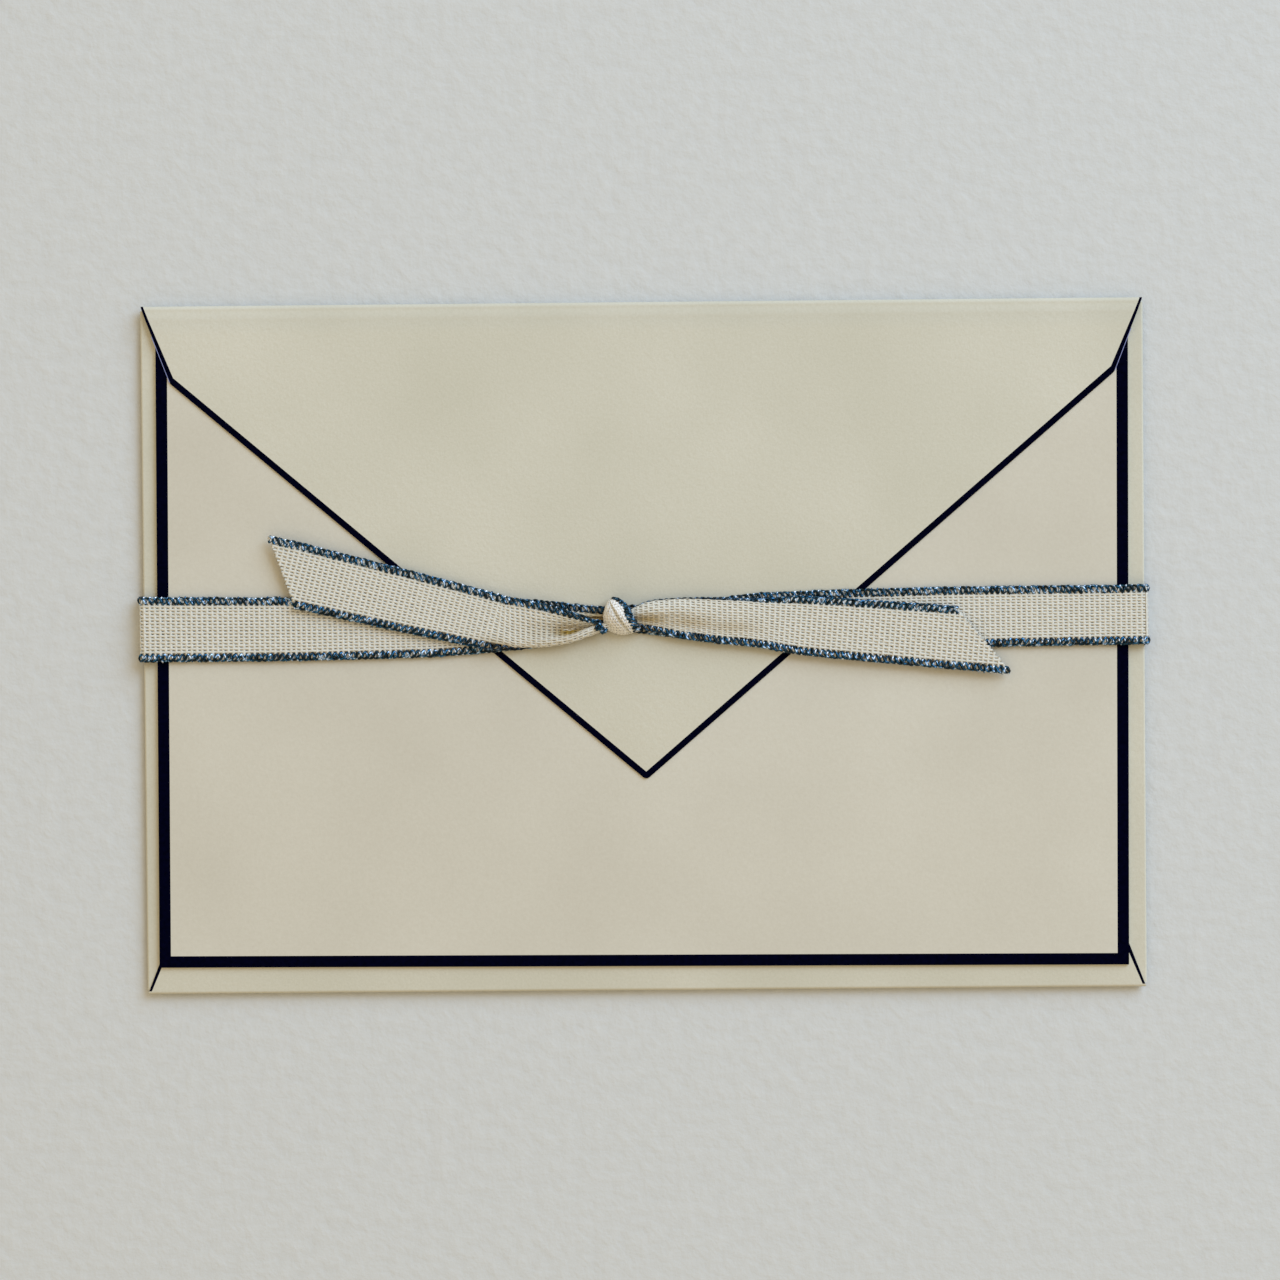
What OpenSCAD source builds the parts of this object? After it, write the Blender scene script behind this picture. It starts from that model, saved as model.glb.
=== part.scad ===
// Paper envelope with a bordered notecard under its flap, tied with a narrow woven ribbon.
// It lies on the ribbon with its flap side up. X runs along the width and +Y points to the
// top fold. The origin is under the middle of the whole object.

/* [Card] */
// Width of the notecard
card_w = 152.4; // [130:0.2:180]
// Height of the notecard
card_h = 101.6; // [90:0.2:130]
// Thickness of the card
card_t = 0.5; // [0.3:0.05:0.8]
// Width of the frame printed round the card
card_border_w = 1.8; // [1:0.05:4]
// How far the card lies right of the envelope's middle
card_right = -0.2; // [-1:0.1:1]
// How far the card lies above the envelope's middle
card_up = 0.6; // [-1:0.1:0.8]
// Turn of the card on the envelope, in degrees
card_turn = -0.25; // [-0.5:0.05:0.5]

/* [Envelope] */
// Margin between the card and each side fold
side_margin = 2.5; // [2:0.1:6]
// Margin between the card and the top and bottom folds
end_margin = 3.3; // [3:0.1:6]
// Thickness of the envelope's paper
paper_t = 0.2; // [0.12:0.02:0.3]
// Height inside the side folds
pocket_gap = 0.3; // [0.2:0.05:0.6]

/* [Flaps] */
// Depth of the pointed top flap, from its fold to its tip
top_flap_d = 75; // [60:0.5:85]
// Turn of the top flap on its fold, in degrees
top_flap_turn = 0.2; // [-0.5:0.05:0.5]
// Height that the top flap climbs between its fold and the card
top_flap_climb = 0.25; // [0.1:0.05:0.5]
// Depth of the bottom flap, from its fold to its tip
bottom_flap_d = 58; // [45:0.5:75]
// How far the shoulders of both flaps step in
shoulder_in = 4.8; // [2:0.1:8]
// How far the shoulders reach from the fold
shoulder_d = 12; // [6:0.5:20]
// Radius at the tip of the top flap
tip_r = 0.8; // [0.3:0.1:4]
// Radius at the tip of the bottom flap, under the card
bottom_tip_r = 5; // [1:0.5:10]
// How far each side flap reaches in
side_flap_w = 40; // [28:0.5:48]
// Slope of the upper and lower edges of the side flaps, in degrees
side_flap_slope = 32; // [26:1:36]
// Radius at the inner corners of the side flaps
side_flap_r = 4; // [1:0.5:8]

/* [Printed line] */
// Width of the line along the slanted edges of the flaps
line_w = 1; // [0.5:0.05:2]
// Width of the line along the shoulders, at the kink
shoulder_line_w = 0.75; // [0.4:0.05:1.5]
// Width that the line narrows to at the fold
corner_line_w = 0.4; // [0.2:0.05:1]
// Depth that the ink takes of the paper
ink_t = 0.05; // [0.03:0.01:0.08]

/* [Ribbon] */
// Width of the ribbon over its edgings
ribbon_w = 9.7; // [7:0.1:14]
// Thickness of the woven tape
tape_t = 0.4; // [0.3:0.05:0.5]
// Width of the thread edging
edging_w = 1.2; // [0.8:0.1:1.6]
// Thickness of the thread edging
edging_t = 0.6; // [0.56:0.02:0.8]
// Number of ribs across the tape
ribs = 7; // [3:1:9]
// Height of the ribs
rib_h = 0.05; // [0.02:0.01:0.08]
// Height of the ribbon's middle line above the envelope's middle
ribbon_up = 3.9; // [-10:0.1:10]
// Turn of the ribbon on the envelope, in degrees
ribbon_turn = 0.38; // [-1:0.02:1]

/* [Knot] */
// How far the knot lies right of the middle
knot_right = -3.5; // [-15:0.1:15]
// How far the knot lies above the ribbon's middle line
knot_up = 0.8; // [-2:0.1:1.2]
// Width of the knot along the ribbon
knot_w = 5.3; // [4.5:0.1:7]
// Length of the wrap across the ribbon
knot_l = 6.4; // [5.5:0.1:8]
// Height of the knot above the flap
knot_h = 4.2; // [3.8:0.1:5.5]
// Number of pleats in the wrap
pleats = 5; // [3:1:7]

/* [Tails] */
// Reach of the left tail from the knot
left_tail_l = 53.5; // [35:0.5:68]
// Rise of the left tail, in degrees
left_tail_turn = 14.3; // [5:0.1:20]
// Slant of the left tail's cut end
left_tail_slant = 6.1; // [-10:0.1:10]
// Reach of the right tail from the knot
right_tail_l = 56.5; // [35:0.5:72]
// Rise of the right tail, in degrees
right_tail_turn = -5.5; // [-12:0.1:0]
// Slant of the right tail's cut end
right_tail_slant = -9.4; // [-10:0.1:10]

/* [Hidden] */
$fn = 48;

paper_color = [0.80, 0.78, 0.71];
card_color = [0.78, 0.76, 0.69];
ink_color = [0.02, 0.02, 0.10];
tape_color = [0.75, 0.72, 0.65];
thread_color = [0.16, 0.32, 0.48];

envelope_w = card_w + 2 * side_margin;
envelope_h = card_h + 2 * end_margin;
fold_clear = 0.05;
fold_lap = 0.5;
fold_steps = 16;
cut_over = 1;

// Levels, from the table up
panel_z = edging_t;
panel_top = panel_z + paper_t;
side_flap_z = panel_top + pocket_gap;
bottom_flap_z = side_flap_z + paper_t;
card_z = bottom_flap_z + paper_t;
card_top = card_z + card_t;
flap_z = card_top + fold_clear;
flap_top = flap_z + paper_t;

// Folds: inner radii, and the lines where the flat paper starts
side_r = pocket_gap / 2;
bottom_r = (bottom_flap_z - panel_top) / 2;
top_start_z = flap_z - top_flap_climb;
top_r = (top_start_z - panel_top) / 2;
side_fold_x = envelope_w / 2 - side_r - paper_t;
bottom_fold_y = -envelope_h / 2 + bottom_r + paper_t;
top_fold_y = envelope_h / 2 - top_r - paper_t;

// Short stretch left free where two folds meet at a corner
corner_relief = 0.7;
root_relief = 0.15;

// Outline of the pointed flaps, as half width against distance from the fold
flap_root = envelope_w / 2 - root_relief;
flap_kink = envelope_w / 2 - shoulder_in;
kink_r = 1;

function unit(v) = v / norm(v);
function ease(t) = let (k = min(max(t, 0), 1)) k * k * (3 - 2 * k);
function ease_slope(t) = let (k = min(max(t, 0), 1)) 6 * k * (1 - k);

// Arc that rounds corner b between a and c, or b itself where the radius is 0
function corner_arc(a, b, c, r, steps = 8) =
    r <= 0 ? [b] :
    let (
        u = unit(a - b),
        v = unit(c - b),
        half = acos(u * v) / 2,
        o = b + unit(u + v) * r / sin(half),
        p = b + u * r / tan(half) - o,
        q = b + v * r / tan(half) - o,
        from = atan2(p.y, p.x),
        turn = atan2(p.x * q.y - p.y * q.x, p * q)
    )
    [for (i = [0:steps]) o + r * [cos(from + turn * i / steps), sin(from + turn * i / steps)]];

function rounded(points, radii) =
    let (n = len(points))
    [for (i = [0:n - 1]) each corner_arc(points[(i + n - 1) % n], points[i], points[(i + 1) % n], radii[i])];

// Shift that moves two edges with inward normals a and b in by wa and wb
function mitre(a, wa, b, wb) =
    let (d = a.x * b.y - b.x * a.y)
    [(wa * b.y - wb * a.y) / d, (a.x * wb - b.x * wa) / d];

function both_sides(half) =
    concat(half, [for (i = [len(half) - 1:-1:0]) if (half[i].x > 0) [-half[i].x, half[i].y]]);

// Turns the part of a flap beyond its fold by a small angle
function turned(points, turn) =
    [for (p = points) p.y > 0 ? p + tan(turn) * [p.y, -p.x] : p];

function flap_outline(depth, tip, turn = 0) =
    let (half = [[flap_root, -cut_over], [flap_root, 0], [flap_kink, shoulder_d], [0, depth]])
    rounded(turned(both_sides(half), turn), [0, 0, kink_r, tip, kink_r, 0, 0]);

// The same outline, moved in by the width of the printed line
function flap_field(depth, tip, turn = 0) =
    let (
        slant = unit([-flap_kink, depth - shoulder_d]),
        shoulder = unit([flap_kink - flap_root, shoulder_d]),
        inward = mitre([-slant.y, slant.x], line_w, [-shoulder.y, shoulder.x], shoulder_line_w),
        root = flap_root - corner_line_w,
        half = [
            [root, -cut_over],
            [root, 0],
            [flap_kink, shoulder_d] + inward,
            [0, depth + line_w / slant.x]
        ]
    )
    rounded(turned(both_sides(half), turn), [0, 0, 0, max(tip - line_w, 0), 0, 0, 0]);

top_outline = flap_outline(top_flap_d, tip_r, top_flap_turn);
top_field = flap_field(top_flap_d, tip_r, top_flap_turn);
bottom_outline = flap_outline(bottom_flap_d, bottom_tip_r);
bottom_field = flap_field(bottom_flap_d, bottom_tip_r);

// Upright prism over a flap's outline, hung from the top fold
module flap_prism(outline) {
    linear_extrude(card_top + 2 * paper_t)
        polygon([for (p = outline) [p.x, envelope_h / 2 - p.y]]);
}

// A run is the section of folded paper: the places of its inner face with their outward
// directions. A fold starts inside the front panel, at the line where the panel ends.
function fold_run(edge, r) = concat(
    [[[edge - fold_lap, panel_top], [0, -1]]],
    [
        for (i = [0:fold_steps])
            let (n = [sin(180 * i / fold_steps), -cos(180 * i / fold_steps)])
            [[edge, panel_top + r] + r * n, n]
    ]
);

// The top flap rises from its fold to the card's top edge, then lies flat on the card
ramp_low_y = card_h / 2 + card_up + card_w / 2 * sin(abs(card_turn)) + fold_clear;
ramp_steps = 8;
top_fold = fold_run(top_fold_y, top_r);
top_rise = [
    for (i = [1:ramp_steps])
        let (
            t = 1 - i / ramp_steps,
            y = ramp_low_y + (top_fold_y - ramp_low_y) * t
        )
        [
            [y, flap_z - top_flap_climb * ease(t)],
            unit([top_flap_climb * ease_slope(t) / (top_fold_y - ramp_low_y), 1])
        ],
    [[envelope_h / 2 - top_flap_d - cut_over, flap_z], [0, 1]]
];
top_run = concat(top_fold, top_rise);
bottom_run = concat(
    fold_run(-bottom_fold_y, bottom_r),
    [[[envelope_h / 2 - bottom_flap_d - cut_over, bottom_flap_z], [0, 1]]]
);
side_run = concat(
    fold_run(side_fold_x, side_r),
    [[[envelope_w / 2 - side_flap_w - cut_over, side_flap_z], [0, 1]]]
);

// Part of the run from its turn upwards, which shows from above
function upper(run) = [for (s = run) if (s[1].y > -0.01) s];

// Paper along a run, between two depths of its thickness
module layer(run, t0, t1, length) {
    under = [for (s = run) s[0] + s[1] * t0];
    over = [for (i = [len(run) - 1:-1:0]) run[i][0] + run[i][1] * t1];
    rotate([90, 0, 90])
        translate([0, 0, -length / 2])
            linear_extrude(length)
                polygon(concat(under, over));
}

module top_flap() {
    intersection() {
        layer(top_run, 0, paper_t, 2 * flap_root);
        flap_prism(top_outline);
    }
}

module top_border() {
    difference() {
        intersection() {
            layer(upper(top_run), paper_t - ink_t, paper_t, 2 * flap_root);
            flap_prism(top_outline);
        }
        flap_prism(top_field);
    }
}

module bottom_flap() {
    mirror([0, 1, 0])
        intersection() {
            layer(bottom_run, 0, paper_t, 2 * flap_root);
            flap_prism(bottom_outline);
        }
}

module bottom_border() {
    mirror([0, 1, 0])
        difference() {
            intersection() {
                flap_prism(bottom_outline);
                translate([-envelope_w / 2, -envelope_h / 2, bottom_flap_z + paper_t - ink_t])
                    cube([envelope_w, envelope_h / 2 - bottom_fold_y, ink_t]);
            }
            flap_prism(bottom_field);
        }
}

side_fold_half = envelope_h / 2 - corner_relief;

module side_flap() {
    inner_x = envelope_w / 2 - side_flap_w;
    inner_y = side_fold_half - (side_fold_x - inner_x) * tan(side_flap_slope);
    outer_x = envelope_w / 2 + cut_over;
    outline = [
        [outer_x, side_fold_half], [side_fold_x, side_fold_half], [inner_x, inner_y],
        [inner_x, -inner_y], [side_fold_x, -side_fold_half], [outer_x, -side_fold_half]
    ];
    intersection() {
        rotate([0, 0, -90])
            layer(side_run, 0, paper_t, envelope_h);
        linear_extrude(flap_top)
            polygon(rounded(outline, [0, 0, side_flap_r, side_flap_r, 0, 0]));
    }
}

module front_panel() {
    translate([-side_fold_x, bottom_fold_y, panel_z])
        cube([2 * side_fold_x, top_fold_y - bottom_fold_y, paper_t]);
}

// One sheet: the side flaps are turned in, the bottom flap is glued on them
module envelope() {
    color(paper_color)
        difference() {
            union() {
                front_panel();
                side_flap();
                mirror([1, 0, 0]) side_flap();
                bottom_flap();
                top_flap();
            }
            top_border();
            bottom_border();
        }
}

module flap_borders() {
    color(ink_color) {
        top_border();
        bottom_border();
    }
}

module on_card() {
    translate([card_right, card_up, card_z])
        rotate([0, 0, card_turn])
            children();
}

module card_frame() {
    translate([0, 0, card_t - ink_t])
        difference() {
            translate([-card_w / 2, -card_h / 2, 0])
                cube([card_w, card_h, ink_t]);
            translate([card_border_w - card_w / 2, card_border_w - card_h / 2, -ink_t])
                cube([card_w - 2 * card_border_w, card_h - 2 * card_border_w, 3 * ink_t]);
        }
}

module note_card() {
    color(card_color)
        on_card()
            difference() {
                translate([-card_w / 2, -card_h / 2, 0])
                    cube([card_w, card_h, card_t]);
                card_frame();
            }
}

module card_border() {
    color(ink_color)
        on_card()
            card_frame();
}

// Ribbon. Its loop is a rounded rectangle round the envelope, and its ends gather to the knot.
// The edging grips the tape's edge by a third of its width.
grip = edging_w / 3;
tape_half = ribbon_w / 2 - edging_w + grip;
side_clear = 0.05;
loop_half = envelope_w / 2 + side_clear + ribbon_w / 2 * sin(abs(ribbon_turn));
bend_r = 0.35;
bend_mid = bend_r + edging_t / 2;
band_z = flap_top + edging_t / 2;
tail_z = band_z + edging_t + fold_clear;
bend_step = 30;

// Hand-chosen shape of the gathered stretches, against the distance from the knot:
// line is the height of the middle, open the share of the full width, rise the lift off
// the paper and wave the depth of the folds
band_steps = [1, 3, 5, 8, 11, 15, 20, 30, 50];
band_left_line = [[0, 0.8], [3, 0.6], [13, 0.05], [20, -0.15], [30, -0.35], [50, -0.25], [60, -0.15]];
band_left_open = [[0, 0.3], [3, 0.36], [8, 0.6], [13, 0.76], [20, 0.86], [30, 0.94], [50, 1.02]];
band_right_line = [[0, 0.8], [3, 0.6], [13, 0.1], [20, 0.1], [30, 0]];
band_right_open = [[0, 0.3], [3, 0.36], [8, 0.5], [13, 0.63], [20, 0.8], [30, 0.91], [50, 0.97]];
band_rise = [[0, 0.6], [3, 0.55], [8, 0.35], [14, 0.1], [20, 0]];
band_wave = [[0, 0.4], [3, 0.4], [8, 0.25], [15, 0.06], [20, 0]];
tail_bend = 19;
tail_steps = [1, 4, 7, 10, 13, 16, 20, 26, 36];
tail_wave = [[0, 0.9], [6, 0.9], [12, 0.7], [20, 0.25], [30, 0]];
left_line = [[0, 0.6], [4.5, -0.6], [8, -0.7], [13, -0.4], [19, 0.05]];
left_open = [[0, 0.3], [5, 0.32], [8, 0.42], [13, 0.65], [19, 0.86], [35, 0.96], [52, 1.02]];
left_rise = [[0, 1.1], [5, 0.9], [12, 0.5], [20, 0.15], [28, 0], [45, 0.05], [57, 0.3]];
left_fold = [[-1, -0.5], [-0.85, 0.2], [-0.65, 0.6], [-0.3, -0.1], [0, -0.5], [0.5, -0.2], [1, 0.3]];
right_line = [[0, 0.8], [4, 0.75], [9, 0.48], [13, 0.15], [19, -0.08]];
right_open = [[0, 0.28], [4, 0.35], [9, 0.57], [13, 0.64], [19, 0.8], [28, 0.91], [37, 0.96], [52, 1]];
right_rise = [[0, 0.8], [4, 0.85], [12, 0.5], [20, 0.15], [28, 0], [60, 0.1]];
right_fold = [[-1, 0.4], [-0.65, -0.2], [-0.25, -0.5], [0.1, 0.2], [0.5, 0.5], [0.85, 0.2], [1, -0.3]];

module on_ribbon() {
    translate([0, ribbon_up, 0])
        rotate([0, 0, ribbon_turn])
            children();
}

// Solid skin over a list of sections with the same number of points, in order. Each end is
// closed by the triangles of cap, and lean turns the diagonals of the sides.
module skin(sections, cap, lean = false) {
    m = len(sections[0]);
    n = len(sections);
    sides = [
        for (i = [0:n - 2], j = [0:m - 1])
            let (a = i * m + j, b = i * m + (j + 1) % m)
            each (lean ? [[a, a + m, b], [b, a + m, b + m]] : [[a, b + m, b], [a, a + m, b + m]])
    ];
    last = [for (f = cap) [f[0], f[2], f[1]] + (n - 1) * m * [1, 1, 1]];
    polyhedron([for (s = sections) each s], concat(cap, sides, last));
}

// A station is its centre, its outward direction, its open share and the depth of its waves
function front_station(side, d) =
    let (
        line = side < 0 ? band_left_line : band_right_line,
        open = side < 0 ? band_left_open : band_right_open
    )
    [
        [knot_right + side * d, lookup(d, line), band_z + lookup(d, band_rise)],
        [0, 0, 1],
        lookup(d, open),
        lookup(d, band_wave)
    ];

function bend_stations(x, z, from) = [
    for (a = [from:bend_step:from + 90])
        [[x + bend_mid * cos(a), 0, z + bend_mid * sin(a)], [cos(a), 0, sin(a)], 1, 0]
];

bend_x = loop_half - bend_r;
loop_stations = concat(
    [for (d = band_steps) front_station(-1, d)],
    bend_stations(-bend_x, flap_top - bend_r, 90),
    bend_stations(-bend_x, panel_z + bend_r, 180),
    bend_stations(bend_x, panel_z + bend_r, 270),
    bend_stations(bend_x, flap_top - bend_r, 0),
    [for (i = [len(band_steps) - 1:-1:0]) front_station(1, band_steps[i])]
);

// Across the ribbon a point has a share v of the ribbed middle, a distance out past it and
// a height up from the middle surface. The two edges lie level with the ends of the middle.
function across(open, v, out) = v * (open * tape_half - grip) + out;
function wave(v, depth) = depth * cos(540 * v);

function loop_place(s) = function(v, out, up)
    s[0] + [0, across(s[2], v, out), 0] + s[1] * (wave(v, s[3]) + up);

// A tail is its side, line, open share, rise, fold, turn, reach and slant
left_tail = [
    -1, left_line, left_open, left_rise, left_fold,
    left_tail_turn, left_tail_l, left_tail_slant
];
right_tail = [
    1, right_line, right_open, right_rise, right_fold,
    right_tail_turn, right_tail_l, right_tail_slant
];

function tail_line(tail, d) = lookup(min(d, tail_bend), tail[1]) + tan(tail[5]) * max(d - tail_bend, 0);
function tail_slope(tail, d) = tail_line(tail, d + 0.5) - tail_line(tail, d - 0.5);
function tail_across(tail, d) = unit([-tail[0] * tail_slope(tail, d), 1, 0]);

// A section of a tail lies at a distance from the knot and has a slant over half the width
function tail_place(tail, s) = function(v, out, up)
    let (
        y = across(lookup(s[0], tail[2]), v, out),
        d = s[0] + s[1] * y / (ribbon_w / 2)
    )
    [knot_right + tail[0] * d, tail_line(tail, d), tail_z + lookup(d, tail[3])]
    + tail_across(tail, d) * y
    + [0, 0, lookup(d, tail_wave) * lookup(v, tail[4]) + up];

// The last section follows the slanted cut
function tail_sections(tail) =
    let (
        square_end = tail[6] - abs(tail[7]) / 2 - 1,
        list = [
            for (d = tail_steps) if (d < square_end) [d, 0],
            [square_end, 0],
            [tail[6], tail[7] / 2]
        ]
    )
    [for (i = [0:len(list) - 1]) tail_place(tail, list[tail[0] < 0 ? i : len(list) - 1 - i])];

// Section of the tape, with ribs on its upper side
rib_points = 2 * ribs;
function tape_section(place) = concat(
    [place(-1, -grip, tape_t / 2)],
    [for (j = [0:rib_points]) place(2 * j / rib_points - 1, 0, tape_t / 2 - j % 2 * rib_h)],
    [place(1, grip, tape_t / 2), place(1, grip, -tape_t / 2)],
    [for (j = [rib_points:-1:0]) place(2 * j / rib_points - 1, 0, -tape_t / 2)],
    [place(-1, -grip, -tape_t / 2)]
);

// Triangles that close an end of the tape, whose last point has the number given
function tape_cap(last) = [
    for (j = [0:rib_points + 1])
        each [[j, last - 1 - j, last - j], [j, j + 1, last - 1 - j]]
];

// Section of the edging, a C that closes round the edge of the tape: out, then up
edging_slope = edging_w / 5;
edging_lip = (edging_t + tape_t) / 4;
edging_outline = [
    [0, edging_lip], [edging_slope, edging_t / 2], [edging_w - edging_slope, edging_t / 2],
    [edging_w, edging_t / 5], [edging_w, -edging_t / 5], [edging_w - edging_slope, -edging_t / 2],
    [edging_slope, -edging_t / 2], [0, -edging_lip], [0, -tape_t / 2], [grip, -tape_t / 2],
    [grip, tape_t / 2], [0, tape_t / 2]
];
edging_cap = [
    [0, 1, 11], [1, 10, 11], [1, 2, 10], [2, 3, 10], [3, 4, 10],
    [4, 9, 10], [4, 5, 9], [5, 6, 9], [6, 8, 9], [6, 7, 8]
];

function edging_section(place, edge) = [for (p = edging_outline) place(edge, edge * p.x, edge * p.y)];

module tape_strip(places) {
    sections = [for (p = places) tape_section(p)];
    skin(sections, tape_cap(len(sections[0]) - 1));
}

module edging_strip(places, edge) {
    skin([for (p = places) edging_section(p, edge)], edging_cap, true);
}

loop_places = [for (s = loop_stations) loop_place(s)];
left_places = tail_sections(left_tail);
right_places = tail_sections(right_tail);

// The wrap of the knot fans out from the top left to the bottom right. Its two sides are
// shares of half the knot's width and length.
wrap_left = [[-0.6, 0.94], [-0.85, 0.56], [-1, 0.19], [-1.05, -0.19], [-0.95, -0.56], [-0.66, -0.84]];
wrap_right = [[-0.4, 1], [0, 0.76], [0.3, 0.38], [0.53, 0], [0.7, -0.4], [0.84, -0.84]];
wrap_steps = 7;
pleat_r = 0.62;
pleat_fn = 8;
wrap_edge_at = 1.05;
wrap_edge_r = 0.55;

function along(path, v) =
    let (k = v * (len(path) - 1), i = min(floor(k), len(path) - 2))
    path[i] + (path[i + 1] - path[i]) * (k - i);

function wrap_point(v, q, r) =
    let (p = along(wrap_left, v) * (1 - q) + along(wrap_right, v) * q)
    [
        p.x * knot_w / 2,
        p.y * knot_l / 2,
        r + (knot_h - 2 * r) * (0.1 + 0.9 * pow(sin(180 * v), 0.6)) * (1 - 0.15 * pow(2 * q - 1, 2))
    ];

function wrap_width(v) = norm(along(wrap_right, v) - along(wrap_left, v)) * knot_w / 2;
function pleat_radius(v) = max(pleat_r * wrap_width(v) / pleats, 0.35);

module pleat(q) {
    for (i = [0:wrap_steps - 1])
        hull()
            for (v = [i, i + 1] / wrap_steps)
                translate(wrap_point(v, q, pleat_radius(v)))
                    sphere(pleat_radius(v), $fn = pleat_fn);
}

module knot_body() {
    translate([knot_right, knot_up, flap_top]) {
        for (k = [0:pleats - 1])
            pleat((k + 0.5) / pleats);
        hull()
            for (v = [0.25, 0.5, 0.75], q = [0.2, 0.8])
                translate(wrap_point(v, q, 1) * 0.8 + [0, 0, 0.2])
                    sphere(1, $fn = pleat_fn);
    }
}

module tape_body() {
    on_ribbon() {
        tape_strip(loop_places);
        tape_strip(left_places);
        tape_strip(right_places);
        knot_body();
    }
}

module ribbon_tape() {
    color(tape_color)
        tape_body();
}

// Edging of the wrap, along its right side
module wrap_edge() {
    translate([knot_right, knot_up, flap_top])
        for (i = [0:wrap_steps - 1])
            hull()
                for (v = [i, i + 1] / wrap_steps)
                    translate(wrap_point(v, wrap_edge_at, wrap_edge_r))
                        sphere(wrap_edge_r, $fn = pleat_fn);
}

// Room of the knot, at which the edgings of the loop and of the tails end
module knot_room() {
    translate([knot_right, knot_up, flap_top])
        hull()
            for (i = [0:wrap_steps], q = [0, 0.5, wrap_edge_at])
                translate(wrap_point(i / wrap_steps, q, wrap_edge_r))
                    sphere(wrap_edge_r + side_clear, $fn = pleat_fn);
}

module edging_body(edge) {
    on_ribbon()
        difference() {
            union() {
                edging_strip(loop_places, edge);
                edging_strip(left_places, edge);
                edging_strip(right_places, edge);
            }
            knot_room();
        }
}

module ribbon_edging_upper() {
    color(thread_color) {
        edging_body(1);
        difference() {
            on_ribbon() wrap_edge();
            tape_body();
        }
    }
}

module ribbon_edging_lower() {
    color(thread_color)
        edging_body(-1);
}

envelope();
flap_borders();
note_card();
card_border();
ribbon_tape();
ribbon_edging_upper();
ribbon_edging_lower();
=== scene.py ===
import math
import bpy
import numpy as np
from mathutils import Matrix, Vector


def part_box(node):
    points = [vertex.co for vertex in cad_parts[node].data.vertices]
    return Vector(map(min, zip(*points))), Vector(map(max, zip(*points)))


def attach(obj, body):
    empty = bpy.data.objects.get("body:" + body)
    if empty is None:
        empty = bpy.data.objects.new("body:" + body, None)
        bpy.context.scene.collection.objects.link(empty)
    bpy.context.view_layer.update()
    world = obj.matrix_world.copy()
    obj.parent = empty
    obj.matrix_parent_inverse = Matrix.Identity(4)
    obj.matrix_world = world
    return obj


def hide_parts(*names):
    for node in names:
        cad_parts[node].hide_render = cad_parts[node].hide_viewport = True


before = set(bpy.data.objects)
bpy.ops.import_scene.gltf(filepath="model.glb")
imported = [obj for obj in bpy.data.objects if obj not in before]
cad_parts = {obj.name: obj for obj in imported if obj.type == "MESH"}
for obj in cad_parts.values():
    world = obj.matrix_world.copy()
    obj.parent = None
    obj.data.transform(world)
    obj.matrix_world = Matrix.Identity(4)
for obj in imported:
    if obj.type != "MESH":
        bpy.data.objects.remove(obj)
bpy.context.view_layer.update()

mm = 0.001
rng = np.random.default_rng(7)
sheetLow, sheetHigh = (np.array(corner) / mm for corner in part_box("envelope"))
flapTop = sheetHigh[2]


# Meshes, from points in millimetres with a painted shade at each

def makeObject(name, points, quads, shade, material, smooth=True):
    mesh = bpy.data.meshes.new(name)
    mesh.vertices.add(len(points))
    mesh.vertices.foreach_set("co", (np.asarray(points, float) * mm).ravel())
    quads = np.asarray(quads, int)
    mesh.loops.add(quads.size)
    mesh.loops.foreach_set("vertex_index", quads.ravel())
    mesh.polygons.add(len(quads))
    mesh.polygons.foreach_set("loop_start", np.arange(0, quads.size, 4))
    mesh.polygons.foreach_set("use_smooth", np.full(len(quads), smooth))
    mesh.attributes.new("shade", "FLOAT", "POINT").data.foreach_set("value", shade)
    mesh.update(calc_edges=True)
    mesh.validate()
    obj = bpy.data.objects.new(name, mesh)
    bpy.context.scene.collection.objects.link(obj)
    mesh.materials.append(material)
    return obj


def unit(a):
    return a / np.maximum(np.linalg.norm(a, axis=-1, keepdims=True), 1e-9)


# Four-sided tubes round K centre lines of M rings each: centre and two half axes, all (K, M, 3).
# Their painted shade is 1 on top and falls to 0 below and in the ribbon's hollows, and rises past 1 as
# painted highlight; fall says how fast.
def tubes(centre, axisA, axisB, paintedShade, fall):
    k, m = centre.shape[:2]
    turn = np.arange(4) * math.pi / 2
    ring = (centre[:, :, None] + axisA[:, :, None] * np.cos(turn)[:, None]
            + axisB[:, :, None] * np.sin(turn)[:, None])
    index = np.arange(k * m * 4).reshape(k, m, 4)
    a, b = index[:, :-1], index[:, 1:]
    sides = np.stack([a, np.roll(a, -1, 2), np.roll(b, -1, 2), b], -1).reshape(-1, 4)
    shade = (0.5 + 0.5 * np.sin(turn)) ** fall * (1 - paintedShade)[..., None]
    return ring.reshape(-1, 3), np.concatenate([sides, index[:, 0, ::-1], index[:, -1]]), shade.ravel()


def joined(parts):
    points, quads, shades, base = [], [], [], 0
    for p, q, shade in parts:
        points.append(p)
        quads.append(q + base)
        shades.append(shade)
        base += len(p)
    return np.concatenate(points), np.concatenate(quads), np.concatenate(shades)


# Table value at d, rounded off over a short stretch
def soft(table, d, reach=0.8):
    x, y = np.array(table, float).T
    taps = (-1, -0.5, 0, 0.5, 1)
    return sum(np.interp(d + h * reach, x, y) for h in taps) / len(taps)


# Distance of each point along the line through them
def stopsAlong(points):
    return np.concatenate([[0], np.cumsum(np.linalg.norm(np.diff(points, axis=0), axis=1))])


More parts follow.
